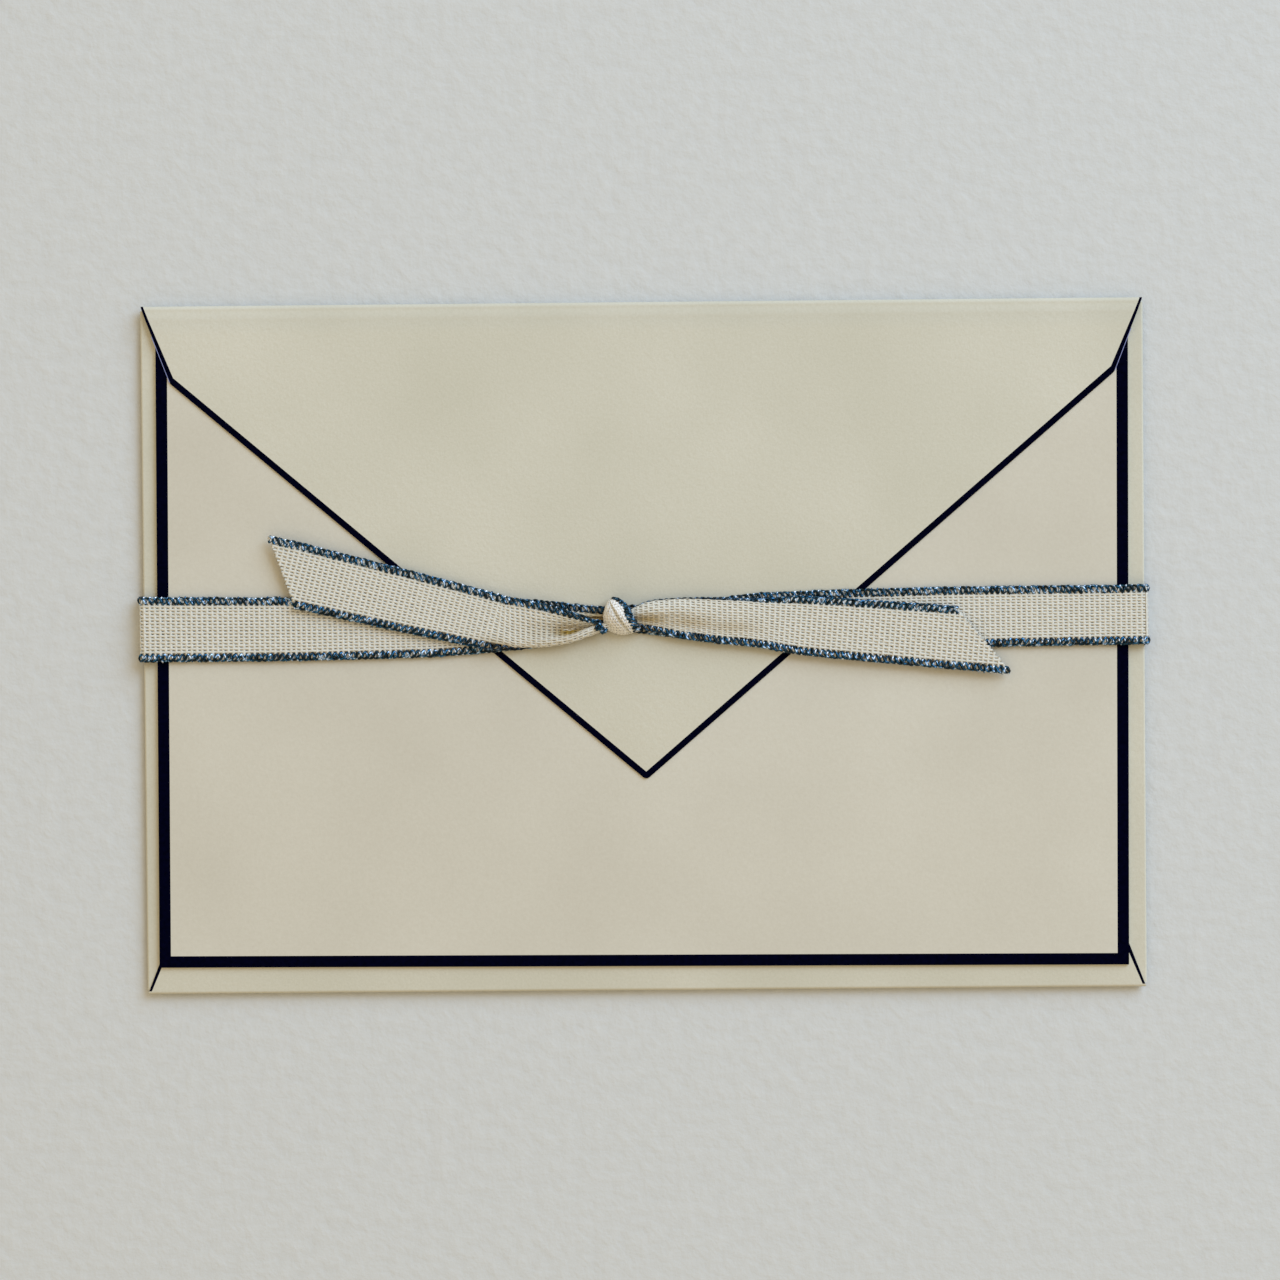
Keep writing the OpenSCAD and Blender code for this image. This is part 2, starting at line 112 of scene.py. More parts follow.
# Ribbon, in millimetres. Its loop has the shape of the part's source, and its tables go
# against the distance from the knot: line is the height of the middle and open the share
# of the full width.
ribbon = {
    "up": 3.9, "turn": 0.38, "width": 9.7, "edging": 1.2, "edgingThick": 0.6, "grip": 0.4,
    "bend": 0.35, "bendSteps": 10, "sideClear": 0.05, "lowLift": 0.1, "tailClear": 0.05,
    "leftLine": [(0, 0.6), (3, 0.5), (8, 0.2), (13, 0), (20, -0.15), (30, -0.4), (50, -0.3),
                 (60, -0.2), (75, 0)],
    "leftOpen": [(0, 0.24), (3, 0.29), (8, 0.51), (13, 0.71), (20, 0.85), (30, 0.94), (50, 1.02),
                 (75, 1.05)],
    "rightLine": [(0, 0.6), (3, 0.5), (13, 0.1), (20, 0.1), (30, 0), (50, 0), (75, 0)],
    "rightOpen": [(0, 0.28), (3, 0.34), (8, 0.48), (13, 0.61), (17, 0.7), (21, 0.82), (30, 0.91),
                  (50, 0.97), (75, 0.95)],
    "rise": [(0, 0.5), (3, 0.4), (8, 0.15), (14, 0.05), (20, 0)],
    "wave": [(0, 0.3), (3, 0.3), (8, 0.15), (15, 0.06), (20, 0)], "folds": 3,
}
knot = {"right": -3.5, "up": 0.8, "width": 5.3, "length": 6.4, "height": 4.2, "from": 0.6}
innerHalf = ribbon["width"] / 2 - ribbon["edging"]
tapeHalf = innerHalf + ribbon["grip"]
beadMiddle = innerHalf + ribbon["edging"] / 2
tailZ = flapTop + ribbon["edgingThick"] * 1.5 + ribbon["tailClear"]


# Turns points of the ribbon's own frame into the frame of the envelope
def turned(vectors):
    a = math.radians(ribbon["turn"])
    x, y, z = vectors[..., 0], vectors[..., 1], vectors[..., 2]
    return np.stack([x * math.cos(a) - y * math.sin(a), x * math.sin(a) + y * math.cos(a), z], -1)


def placed(points):
    return turned(points) + np.array([0, ribbon["up"], 0])


# Place across the ribbon where it is drawn together to a share: only the tape between the
# edgings gives way
def gathered(w, share):
    v = np.clip(w / innerHalf, -1, 1)
    return v * (share * tapeHalf - ribbon["grip"]) + (w - v * innerHalf)


# Line of the loop, as points of x and z: from the knot left, down, under the envelope, up
# again and back to the knot
def loopLine():
    r = ribbon["bend"] + ribbon["edgingThick"] / 2
    lean = ribbon["width"] / 2 * math.sin(math.radians(ribbon["turn"]))
    knee = sheetHigh[0] + ribbon["sideClear"] + lean - ribbon["bend"]
    top = flapTop - ribbon["bend"]
    low = sheetLow[2] + ribbon["bend"] + ribbon["lowLift"]
    points = [(knot["right"], top + r)]
    for x, z, start in [(-knee, top, 90), (-knee, low, 180), (knee, low, 270), (knee, top, 360)]:
        for a in np.radians(np.linspace(start, start + 90, ribbon["bendSteps"] + 1)):
            points.append((x + r * math.cos(a), z + r * math.sin(a)))
    points.append((knot["right"], top + r))
    return np.array(points)


loopPoints = loopLine()
loopStops = stopsAlong(loopPoints)
loopLength = loopStops[-1]


# Each strip gives the point at s millimetres along it and w across it, and takes its
# slopes over h millimetres
def loopStrip(s, w, h=0.1):
    s, w = np.broadcast_arrays(np.asarray(s, float), np.asarray(w, float))

    def at(d):
        return np.stack([np.interp(d, loopStops, loopPoints[:, i]) for i in (0, 1)], -1)

    run, line = unit(at(s + h) - at(s - h)), at(s)
    left = s < loopLength / 2
    d = np.where(left, s, loopLength - s)
    share = np.where(left, soft(ribbon["leftOpen"], d), soft(ribbon["rightOpen"], d))
    middle = np.where(left, soft(ribbon["leftLine"], d), soft(ribbon["rightLine"], d))
    wave = np.cos(ribbon["folds"] * math.pi * np.clip(w / innerHalf, -1, 1))
    lift = soft(ribbon["rise"], d) + soft(ribbon["wave"], d) * wave
    return np.stack([line[..., 0] + run[..., 1] * lift, middle + gathered(w, share),
                     line[..., 1] - run[..., 0] * lift], -1)


# Tails: flat beyond flatFrom, and nearer to the knot in sections, y and z at each w, the
# place across the flat ribbon, for each distance in "at". Slant is how much farther the
# upper edge reaches than the lower one.
leftTail = {
    "side": -1, "turn": 14.2, "reach": 53.0, "slant": 6.8, "flatFrom": 20,
    "line": [(0, 0.6), (13, -0.8), (19, 0.12)],
    "open": [(0, 0.3), (13, 0.65), (19, 0.89), (35, 1.0), (52, 1.07)],
    "rise": [(0, 0.5), (20, 0.2), (28, 0), (45, 0.05), (57, 0.3)],
    "w": [-4.85, -3.65, -2.95, -2.4, -1.65, -1.1, -0.35, 0.4, 1.3, 2.2, 3.65, 4.85],
    "at": [0, 3, 4.5, 8, 12.5, 16.5],
    "y": [[-0.2, -0.6, -0.8, -0.5, 0.1, 0.4, 0.2, 0.0, 0.0, 0.1, 0.3, 0.6],
          [-0.8, -1.35, -1.5, -1.2, -0.5, -0.1, -0.4, -0.6, -0.65, -0.6, -0.5, -0.1],
          [-1.0, -1.8, -1.95, -1.6, -0.9, -0.55, -0.6, -0.7, -0.6, -0.4, -0.1, 0.5],
          [-1.9, -2.95, -3.2, -3.0, -2.35, -2.0, -1.95, -1.5, -0.75, -0.05, 0.85, 1.95],
          [-2.8, -3.7, -3.8, -3.45, -2.85, -2.45, -1.95, -1.3, -0.4, 0.5, 2.1, 3.3],
          [-4.0, -3.75, -3.3, -2.85, -2.25, -1.75, -1.1, -0.35, 0.5, 1.45, 2.95, 4.1]],
    "z": [[0.0, 0.2, 0.6, 1.0, 1.3, 1.0, 0.4, 0.0, 0.1, 0.3, 0.5, 0.6],
          [0.0, 0.3, 0.75, 1.15, 1.4, 1.1, 0.45, 0.0, 0.05, 0.15, 0.3, 0.35],
          [0.0, 0.3, 0.8, 1.3, 1.6, 1.3, 0.5, -0.1, -0.1, 0.3, 0.8, 0.8],
          [-0.05, 0.2, 0.8, 1.4, 1.8, 1.6, 0.5, -0.55, -0.45, 0.35, 1.1, 1.0],
          [-0.2, 0.0, 0.45, 0.9, 1.05, 0.85, 0.3, -0.05, 0.15, 0.55, 0.75, 0.7],
          [-0.1, 0.3, 0.45, 0.45, 0.4, 0.35, 0.3, 0.3, 0.35, 0.35, 0.35, 0.35]],
}
rightTail = {
    "side": 1, "turn": -5.5, "reach": 56.7, "slant": -9.9, "flatFrom": 29,
    "line": [(0, 0.8), (13, 0.2), (19, 0.0)],
    "open": [(0, 0.3), (13, 0.6), (19, 0.82), (28, 0.94), (37, 0.98), (52, 1.02)],
    "rise": [(0, 0.5), (20, 0.2), (28, 0), (60, 0.1)],
    "w": [-4.85, -3.65, -2.4, -1.5, -0.6, 0, 0.5, 1.2, 2.2, 3.0, 3.65, 4.85],
    "at": [0, 1.5, 4.2, 9.2, 13.3, 17],
    "y": [[-0.3, 0.0, 0.1, 0.3, 0.5, 0.6, 0.7, 0.8, 0.9, 1.0, 1.0, 0.9],
          [-0.6, -0.1, 0.1, 0.3, 0.6, 0.8, 1.0, 1.3, 1.7, 1.9, 1.9, 1.6],
          [-1.3, -0.35, -0.05, 0.25, 0.6, 0.9, 1.1, 1.75, 2.6, 3.1, 3.2, 3.0],
          [-2.65, -1.5, -0.9, -0.3, 0.4, 0.85, 1.2, 1.85, 2.75, 3.35, 3.6, 3.3],
          [-3.2, -2.05, -1.4, -0.8, -0.1, 0.4, 0.85, 1.5, 2.4, 3.1, 3.5, 3.4],
          [-3.8, -2.6, -1.7, -1.0, -0.3, 0.15, 0.55, 1.15, 2.05, 2.75, 3.25, 3.3]],
    "z": [[0.2, 0.4, 0.4, 0.3, 0.4, 0.5, 0.7, 0.9, 0.8, 0.6, 0.3, -0.2],
          [0.2, 0.4, 0.4, 0.3, 0.4, 0.7, 1.0, 1.1, 1.0, 0.7, 0.3, -0.2],
          [0.1, 0.3, 0.45, 0.65, 0.85, 0.8, 1.35, 1.6, 1.4, 0.85, 0.3, -0.4],
          [0.15, 0.3, 0.4, 0.55, 0.72, 0.7, 1.0, 1.25, 1.15, 0.85, 0.4, -0.3],
          [0.2, 0.3, 0.35, 0.4, 0.5, 0.5, 0.62, 0.75, 0.8, 0.65, 0.4, -0.1],
          [0.2, 0.25, 0.3, 0.3, 0.35, 0.35, 0.4, 0.45, 0.45, 0.4, 0.25, -0.2]],
}
sectionSoft = {"along": (-1, 0, 1), "across": (-0.35, -0.15, 0.15, 0.35)}


# Value of a tail's sections at distance s and place w, rounded off both ways
def softSection(tail, key, s, w):
    at, across, rows = np.array(tail["at"], float), np.array(tail["w"]), np.array(tail[key])

    def plain(s, w):
        i = np.clip(np.searchsorted(at, s) - 1, 0, len(at) - 2)
        j = np.clip(np.searchsorted(across, w) - 1, 0, len(across) - 2)
        t = np.clip((s - at[i]) / (at[i + 1] - at[i]), 0, 1)
        u = (w - across[j]) / (across[j + 1] - across[j])
        low = rows[i, j] * (1 - u) + rows[i, j + 1] * u
        high = rows[i + 1, j] * (1 - u) + rows[i + 1, j + 1] * u
        return low * (1 - t) + high * t

    taps = [(a, b) for a in sectionSoft["along"] for b in sectionSoft["across"]]
    return sum(plain(s + a, w + b) for a, b in taps) / len(taps)


def tailStrip(tail, h=0.5):
    bend, lastSection = tail["line"][-1][0], tail["at"][-1]

    def line(d):
        return (soft(tail["line"], np.minimum(d, bend), h)
                + math.tan(math.radians(tail["turn"])) * np.maximum(d - bend, 0))

    def place(s, w):
        s, w = np.broadcast_arrays(np.asarray(s, float), np.asarray(w, float))
        slope = (line(s + h) - line(s - h)) / (2 * h)
        over = unit(np.stack([-tail["side"] * slope, np.ones_like(s)], -1))
        x = knot["right"] + tail["side"] * s
        y = gathered(w, soft(tail["open"], s))
        flat = np.stack([x + over[..., 0] * y, line(s) + over[..., 1] * y,
                         tailZ + soft(tail["rise"], s)], -1)
        drop = line(np.maximum(s, lastSection)) - line(lastSection)
        near = np.stack([x, softSection(tail, "y", s, w) + drop,
                         tailZ + softSection(tail, "z", s, w)], -1)
        t = np.clip((s - lastSection) / (tail["flatFrom"] - lastSection), 0, 1)[..., None]
        share = t * t * (3 - 2 * t)
        return near * (1 - share) + flat * share
    return place


# Distance at which a tail's slanted cut crosses w
def tailEnd(tail, w):
    return tail["reach"] + tail["slant"] / 2 * np.asarray(w) / (ribbon["width"] / 2)


# Wrap of the knot: its sides are shares of half the knot's width and length. Its crown and its painted
# highlight, with painted shade in its crease, go against the share of the way across, as its pleats lean.
wrap = {
    "left": [(-0.62, 0.9), (-0.85, 0.62), (-1, 0.3), (-1.05, -0.05), (-1, -0.38), (-0.72, -0.66)],
    "right": [(-0.57, 0.93), (-0.1, 0.84), (0.3, 0.5), (0.5, 0.1), (0.75, -0.3), (1.04, -0.7)],
    "crown": [(0, 0.4), (0.1, 0.66), (0.25, 0.84), (0.42, 0.93), (0.54, 0.9), (0.59, 0.76),
              (0.63, 0.96), (0.68, 1.05), (0.8, 1.01), (0.9, 0.98), (1.0, 0.97), (1.1, 0.92), (1.2, 0.75)],
    "paintedLight": [(0, 0.75), (0.3, 0.75), (0.52, 0.7), (0.59, -0.15), (0.66, 1.0), (1, 1.0)],
    "length": 12.0, "low": 0.25, "topDrop": 0.75, "endRise": 0.1, "riseCurve": 0.6,
    "pleats": 9, "pleatDepth": 0.075, "tapeShare": 0.86, "lean": 0.6, "leanMiddle": 0.6,
    "sag": 0.2, "edgeSpan": 4.4, "edgeIn": 0.3, "sideSoft": 0.07, "crownSoft": 0.04,
}


# Share of the way along the wrap, share across it, its bow there, and the share across as
# its pleats lean
def wrapShares(s, w):
    t = np.clip(s / wrap["length"], 0, 1)
    q = wrap["tapeShare"] * (0.5 + np.clip(w, -innerHalf, innerHalf) / (2 * innerHalf))
    q = q + np.maximum(w - innerHalf, 0) / wrap["edgeSpan"]
    bow = np.sin(math.pi * np.clip(q, 0, 1))
    return t, q, bow, q + wrap["lean"] * (wrap["leanMiddle"] - t) * bow


def wrapStrip(s, w):
    s, w = np.broadcast_arrays(np.asarray(s, float), np.asarray(w, float))
    t, q, bow, leant = wrapShares(s, w)
    stops = np.linspace(0, 1, len(wrap["left"]))

    def side(points, axis):
        return soft(list(zip(stops, [p[axis] for p in points])), t, wrap["sideSoft"])

    x = side(wrap["left"], 0) * (1 - q) + side(wrap["right"], 0) * q
    y = side(wrap["left"], 1) * (1 - q) + side(wrap["right"], 1) * q - wrap["sag"] * bow * t * t
    rise = wrap["endRise"] + (1 - wrap["endRise"]) * np.sin(math.pi * t) ** wrap["riseCurve"]
    crown = (knot["height"] - wrap["topDrop"]) * rise * soft(wrap["crown"], leant, wrap["crownSoft"])
    pleat = wrap["pleatDepth"] * np.cos(2 * math.pi * wrap["pleats"] * leant)
    return np.stack([knot["right"] + x * knot["width"] / 2, knot["up"] + y * knot["length"] / 2,
                     flapTop + wrap["low"] + crown + pleat], -1)


# Bit of the tape's edge that comes out under the wrap's lower left side
hook = {
    "points": [(-7.0, 0.5, 4.3), (-7.15, 0.0, 4.75), (-7.05, -0.6, 4.9), (-6.7, -1.05, 4.8),
               (-6.0, -1.35, 4.4), (-5.2, -1.5, 3.9)],
    "from": 0.1, "to": 3.0, "soft": 0.3,
}


def hookStrip(s, w, h=0.2):
    points = np.array(hook["points"])
    stops = stopsAlong(points)

    def line(d):
        return np.stack([soft(list(zip(stops, points[:, i])), d, hook["soft"]) for i in range(3)], -1)

    run = unit(line(s + h) - line(s))
    over = np.stack([-run[..., 1], run[..., 0], np.zeros_like(run[..., 0])], -1)
    return line(s) + over * (np.asarray(w, float) - beadMiddle)[..., None]


# Painted shade in the hollows, where the ribbon lies deep between its folds, and on some of its edgings:
# the distance at which each is deepest, its place across there, its reach both ways and its depth
paintedShadeSpots = {
    "leftTail": [(8.0, 0.3, 3.1, 1.35, 1.0), (12.5, -0.2, 3.5, 1.5, 0.3), (18.0, -4.3, 3.5, 1.2, 0.8)],
    "rightTail": [(4.2, -1.0, 3.2, 1.3, 0.75), (11.0, -1.0, 4.5, 1.2, 0.45), (17.0, -1.5, 4.5, 1.2, 0.35),
                  (2.6, -4.3, 2.8, 1.5, 0.8), (11.0, 4.3, 8.0, 0.9, 0.6)],
    "leftBand": [(3.6, 0.0, 3.0, 6.0, 0.85)],
    "rightBand": [(2.2, 0.0, 2.4, 6.0, 0.85)],
}
# Painted highlight on the edging that lies high on the knot
edgingPaintedHighlight = -0.1   # the edging that lies high on the knot is a little paler


def paintedShadeAt(run, s, w):
    depth = np.zeros(np.broadcast(s, w).shape)
    for atS, atW, reachS, reachW, deep in paintedShadeSpots[run]:
        near = np.exp(-((s - atS) / reachS) ** 2 - ((w - atW) / reachW) ** 2)
        depth = np.maximum(depth, deep * near)
    return depth


def loopPaintedShade(s, w):
    return np.maximum(paintedShadeAt("leftBand", s, w), paintedShadeAt("rightBand", loopLength - s, w))


def leftPaintedShade(s, w):
    return paintedShadeAt("leftTail", s, w)


def rightPaintedShade(s, w):
    return paintedShadeAt("rightTail", s, w)


# The wrap lies highest, so it gets painted highlight instead of painted shade, with a little painted shade
# in its crease and the most painted highlight on its right pleat
def wrapPaintedLight(s, w):
    return -np.interp(wrapShares(s, w)[3], *np.array(wrap["paintedLight"]).T)


def edgingPaintedLight(s, w):
    return np.full(np.broadcast(s, w).shape, edgingPaintedHighlight)


# Directions of a strip at s, w, from points h away: along it, across it and out of it
def axes(strip, s, w, h=0.05):
    along = unit(strip(s + h, w) - strip(s - h, w))
    over = unit(strip(s, w + h) - strip(s, w - h))
    return along, over, unit(np.cross(along, over))


# Plain weave, in millimetres: half widths, thicknesses, dips over and under, and how far
# threads stray and differ
weave = {
    "warps": 15, "warpPitch": 0.487, "warpHalf": 0.231, "warpThick": 0.09, "warpDip": 0.045,
    "weftPitch": 0.82, "weftHalf": 0.285, "weftThick": 0.08, "weftDip": 0.02, "weftReach": 4.7,
    "firstWeft": 0.42, "shortestWeft": 0.3, "cutGap": 0.4,
    "stray": 0.012, "uneven": 0.05, "narrowest": 0.35, "shadeFall": 0.08,
}


# How far a strip is drawn together across its width
def drawnIn(strip, s, w, h=0.2):
    wide = np.linalg.norm(strip(s, w + h) - strip(s, w - h), axis=-1) / (2 * h)
    return np.clip(wide, weave["narrowest"], 1)


# Warp threads run the length of a strip, with two rings to each weft, over and under in turn
def warpTubes(strip, paintedShade, start, ends, outward):
    n = weave["warps"]
    k = np.arange(n)
    w0 = (k - (n - 1) / 2) * weave["warpPitch"] + rng.normal(0, weave["stray"], n)
    step = weave["weftPitch"] / 2
    rings = np.arange(start, float(np.max(ends(w0))) + step, step)
    s = np.minimum(rings[None, :], ends(w0)[:, None])
    w = np.broadcast_to(w0[:, None], s.shape)
    wave = np.cos(math.pi * np.arange(len(rings)) / 2)[None, :]
    dip = wave * (-1.0) ** k[:, None] * weave["warpDip"]
    along, across, out = axes(strip, s, w)
    out = out * outward
    centre = strip(s, w) + out * dip[..., None]
    wide = weave["warpHalf"] * drawnIn(strip, s, w) * (1 + rng.normal(0, weave["uneven"], s.shape))
    return tubes(placed(centre), turned(across * wide[..., None]), turned(out * weave["warpThick"]),
                 paintedShade(s, w), weave["shadeFall"])


# Weft threads cross the strip, as far as span says at each distance
def weftTubes(strip, paintedShade, start, last, span, outward):
    n = weave["warps"]
    j = np.arange(int((last - start) / weave["weftPitch"]) + 1)
    s0 = start + j * weave["weftPitch"] + rng.normal(0, weave["stray"], len(j))
    half = np.arange(-(n - 1), n) * weave["warpPitch"] / 2
    places = np.concatenate([[-weave["weftReach"]], half, [weave["weftReach"]]])
    wave = np.concatenate([[0], np.cos(math.pi * np.arange(len(half)) / 2), [0]])
    low, high = span(s0)
    keep = high - low > weave["shortestWeft"]
    j = j[keep]
    s = np.broadcast_to(s0[keep, None], (len(j), len(places)))
    w = np.clip(places[None, :], low[keep, None], high[keep, None])
    dip = -wave[None, :] * (-1.0) ** j[:, None] * weave["weftDip"]
    along, across, out = axes(strip, s, w)
    out = out * outward
    centre = strip(s, w) + out * dip[..., None]
    wide = weave["weftHalf"] * (1 + rng.normal(0, weave["uneven"], s.shape))
    return tubes(placed(centre), turned(along * wide[..., None]), turned(out * weave["weftThick"]),
                 paintedShade(s, w), weave["shadeFall"])


# Part of w that a weft thread crosses at each distance: all of it, or what the cut leaves
def fullWidth(s):
    reach = np.full_like(s, weave["weftReach"])
    return -reach, reach


def cutRange(tail):
    def span(s):
        low, high = fullWidth(s)
        edge = (s - tail["reach"]) / (tail["slant"] / 2) * ribbon["width"] / 2
        if tail["slant"] > 0:
            low = np.maximum(low, edge)
        else:
            high = np.minimum(high, edge)
        return low, np.maximum(high, low)
    return span


# Metallic thread: two strands cross each other in a chain, and a paler one winds round them
edging = {
    "cutAt": 4.3, "half": 0.49, "lift": 0.17, "uneven": 0.05, "strandUneven": 0.12, "flatness": 0.8,
    "shadeFall": 0.85, "shortestRun": 6, "ringsToKnob": 6,
    "chain": {"pitch": 1.85, "rings": 10, "strand": 0.21, "lean": 0.5, "up": 0.05},
    "cover": {"pitch": 0.925, "rings": 6, "strand": 0.16, "phase": 0.7, "wider": 1.1, "out": 0.08,
              "up": -0.02},
}


def edgingStrand(strip, paintedShade, start, end, side, outward, phase, kind):
    look = edging[kind]
    n = max(int(abs(end - start) / look["pitch"] * look["rings"]), edging["shortestRun"])
    s = np.linspace(start, end, n)
    turn = 2 * math.pi * s / look["pitch"] + phase
    knobs = max(n // edging["ringsToKnob"], 2)
    uneven = np.interp(s, np.linspace(start, end, knobs), rng.normal(0, edging["uneven"], knobs))
    if kind == "cover":
        y = look["out"] + edging["half"] * look["wider"] * np.cos(turn) + uneven
        z = look["up"] + edging["lift"] * np.sin(turn)
    else:
        y = edging["half"] * np.sin(turn + look["lean"] * np.cos(turn)) + uneven
        z = look["up"] + edging["lift"] * np.cos(turn)
    middle = np.full_like(s, side * beadMiddle)
    out = axes(strip, s, middle)[2] * outward
    centre = strip(s, middle + side * y) + out * z[:, None]
    run = unit(np.gradient(centre, axis=0))
    flat = unit(np.cross(run, out))
    thick = look["strand"] * (1 + rng.normal(0, edging["strandUneven"], n))[:, None]
    up = np.cross(flat, run) * thick * edging["flatness"]
    return tubes(placed(centre)[None], turned(flat * thick)[None], turned(up)[None],
                 paintedShade(s, middle)[None], edging["shadeFall"])


# Nodes of the materials

def socketIn(tree, name, default, kind="NodeSocketFloat"):
    item = tree.interface.new_socket(name, in_out="INPUT", socket_type=kind)
    item.default_value = default


def newGroup(name, inputs, outputs):
    tree = bpy.data.node_groups.new(name, "ShaderNodeTree")
    for socket in inputs:
        socketIn(tree, *socket)
    for label, kind in outputs:
        tree.interface.new_socket(label, in_out="OUTPUT", socket_type=kind)
    return tree, tree.nodes.new("NodeGroupInput"), tree.nodes.new("NodeGroupOutput")


def groupNode(tree, group, values):
    node = tree.nodes.new("ShaderNodeGroup")
    node.node_tree = group
    for label, value in values.items():
        node.inputs[label].default_value = value
    return node


# Sets a socket to a number or a colour, or links it to another socket
def feed(tree, value, socket):
    if isinstance(value, (int, float, tuple)):
        socket.default_value = value
    else:
        tree.links.new(value, socket)


def mathNode(tree, operation, a, b):
    node = tree.nodes.new("ShaderNodeMath")
    node.operation = operation
    feed(tree, a, node.inputs[0])
    feed(tree, b, node.inputs[1])
    return node.outputs[0]


def noiseNode(tree, vector, scale, detail, rough):
    node = tree.nodes.new("ShaderNodeTexNoise")
    tree.links.new(vector, node.inputs["Vector"])
    for label, value in [("Scale", scale), ("Detail", detail), ("Roughness", rough)]:
        feed(tree, value, node.inputs[label])
    return node.outputs[0]


def rampNode(tree, value, stops):
    node = tree.nodes.new("ShaderNodeValToRGB")
    ramp = node.color_ramp
    while len(ramp.elements) < len(stops):
        ramp.elements.new(0.5)
    for i, (place, colour) in enumerate(stops):
        ramp.elements[i].position = place
        ramp.elements[i].color = (*colour, 1)
    tree.links.new(value, node.inputs[0])
    return node.outputs["Color"]


def mixNode(tree, factor, low, high, blend="MIX"):
    node = tree.nodes.new("ShaderNodeMix")
    node.data_type = "RGBA"
    node.blend_type = blend
    for name, value in (("Factor_Float", factor), ("A_Color", low), ("B_Color", high)):
        feed(tree, value, next(i for i in node.inputs if i.identifier == name))
    return next(o for o in node.outputs if o.identifier == "Result_Color")


def bumpNode(tree, shader, height, look):
    node = tree.nodes.new("ShaderNodeBump")
    node.inputs["Strength"].default_value = look["bump"]
    node.inputs["Distance"].default_value = look["bumpDepth"]
    tree.links.new(height, node.inputs["Height"])
    tree.links.new(node.outputs[0], shader.inputs["Normal"])


# Colour as read off a screen, 0 to 255, in the scene's own light values
def screen(r, g, b):
    return tuple((c / 255 / 12.92) if c / 255 <= 0.04045 else ((c / 255 + 0.055) / 1.055) ** 2.4
                 for c in (r, g, b))


# Fibres and tooth of paper, each with its detail and roughness, and how they mix
fibreMix = {
    "fibre": (4.0, 0.65), "tooth": (3.0, 0.55), "cloud": (2.0, 0.5), "fibreTone": 0.45, "cloudTone": 0.55,
    "fibreHeight": 0.5, "patchContrast": 2.6, "patchLow": 0.5,
}


# A tone round 0.5 and a height, with the tooth in patches
def paperFibreGroup():
    tree, inward, outward = newGroup(
        "paperFibre",
        [("Fibre Scale", 2600.0), ("Tooth Scale", 900.0), ("Cloud Scale", 35.0)],
        [("Tone", "NodeSocketFloat"), ("Height", "NodeSocketFloat")])
    vector = tree.nodes.new("ShaderNodeTexCoord").outputs["Object"]
    fibre = noiseNode(tree, vector, inward.outputs["Fibre Scale"], *fibreMix["fibre"])
    tooth = noiseNode(tree, vector, inward.outputs["Tooth Scale"], *fibreMix["tooth"])
    cloud = noiseNode(tree, vector, inward.outputs["Cloud Scale"], *fibreMix["cloud"])
    fine = mathNode(tree, "MULTIPLY", fibre, fibreMix["fibreTone"])
    wide = mathNode(tree, "MULTIPLY", cloud, fibreMix["cloudTone"])
    tree.links.new(mathNode(tree, "ADD", fine, wide), outward.inputs["Tone"])
    strong = mathNode(tree, "MULTIPLY", cloud, fibreMix["patchContrast"])
    patchy = mathNode(tree, "MULTIPLY", tooth, mathNode(tree, "SUBTRACT", strong, fibreMix["patchLow"]))
    fibreHeight = mathNode(tree, "MULTIPLY", fibre, fibreMix["fibreHeight"])
    tree.links.new(mathNode(tree, "ADD", fibreHeight, patchy), outward.inputs["Height"])
    return tree


# Fine grain of print, thread and floor: a tone round 0.5
def grainGroup():
    tree, inward, outward = newGroup(
        "grain",
        [("Scale", 1000.0), ("Detail", 3.0), ("Rough", 0.6), ("Stretch", (1, 1, 1), "NodeSocketVector")],
        [("Tone", "NodeSocketFloat")])
    stretch = tree.nodes.new("ShaderNodeMapping")
    tree.links.new(tree.nodes.new("ShaderNodeTexCoord").outputs["Object"], stretch.inputs["Vector"])
    tree.links.new(inward.outputs["Stretch"], stretch.inputs["Scale"])
    tone = noiseNode(tree, stretch.outputs[0], *(inward.outputs[i] for i in ("Scale", "Detail", "Rough")))
    tree.links.new(tone, outward.inputs["Tone"])
    return tree


# Colour of a thread by its painted shade: the painted shade colour at 0, in the hollows and below, and the
# painted highlight colour past 1, on the highest folds
def threadShadeGroup():
    labels = ("Colour", "Painted Shade Colour", "Painted Highlight Colour")
    tree, inward, outward = newGroup(
        "threadShade", [(label, (1, 1, 1, 1), "NodeSocketColor") for label in labels],
        [("Colour", "NodeSocketColor")])
    shade = tree.nodes.new("ShaderNodeAttribute")
    shade.attribute_name = "shade"
    value = shade.outputs["Fac"]
    colour = mixNode(tree, value, inward.outputs["Painted Shade Colour"], inward.outputs["Colour"])
    high = mathNode(tree, "SUBTRACT", value, 1.0)
    tree.links.new(mixNode(tree, high, colour, inward.outputs["Painted Highlight Colour"]), outward.inputs["Colour"])
    return tree


paperFibre = paperFibreGroup()
grain = grainGroup()
threadShade = threadShadeGroup()


def newMaterial(name, look):
    material = bpy.data.materials.new(name)
    material.use_nodes = True
    shader = material.node_tree.nodes["Principled BSDF"]
    shader.inputs["Roughness"].default_value = look["roughness"]
    shader.inputs["Specular IOR Level"].default_value = look["specular"]
    shader.inputs["Metallic"].default_value = look.get("metallic", 0.0)
    return material, material.node_tree, shader


def grainTone(tree, look):
    values = {"Scale": look["scale"], "Detail": look.get("detail", 3.0),
              "Rough": look.get("rough", 0.6), "Stretch": look.get("stretch", (1, 1, 1))}
    return groupNode(tree, grain, values).outputs["Tone"]


def stopsColour(tree, tone, look):
    return rampNode(tree, tone, [(place, screen(*colour)) for place, colour in look["stops"]])
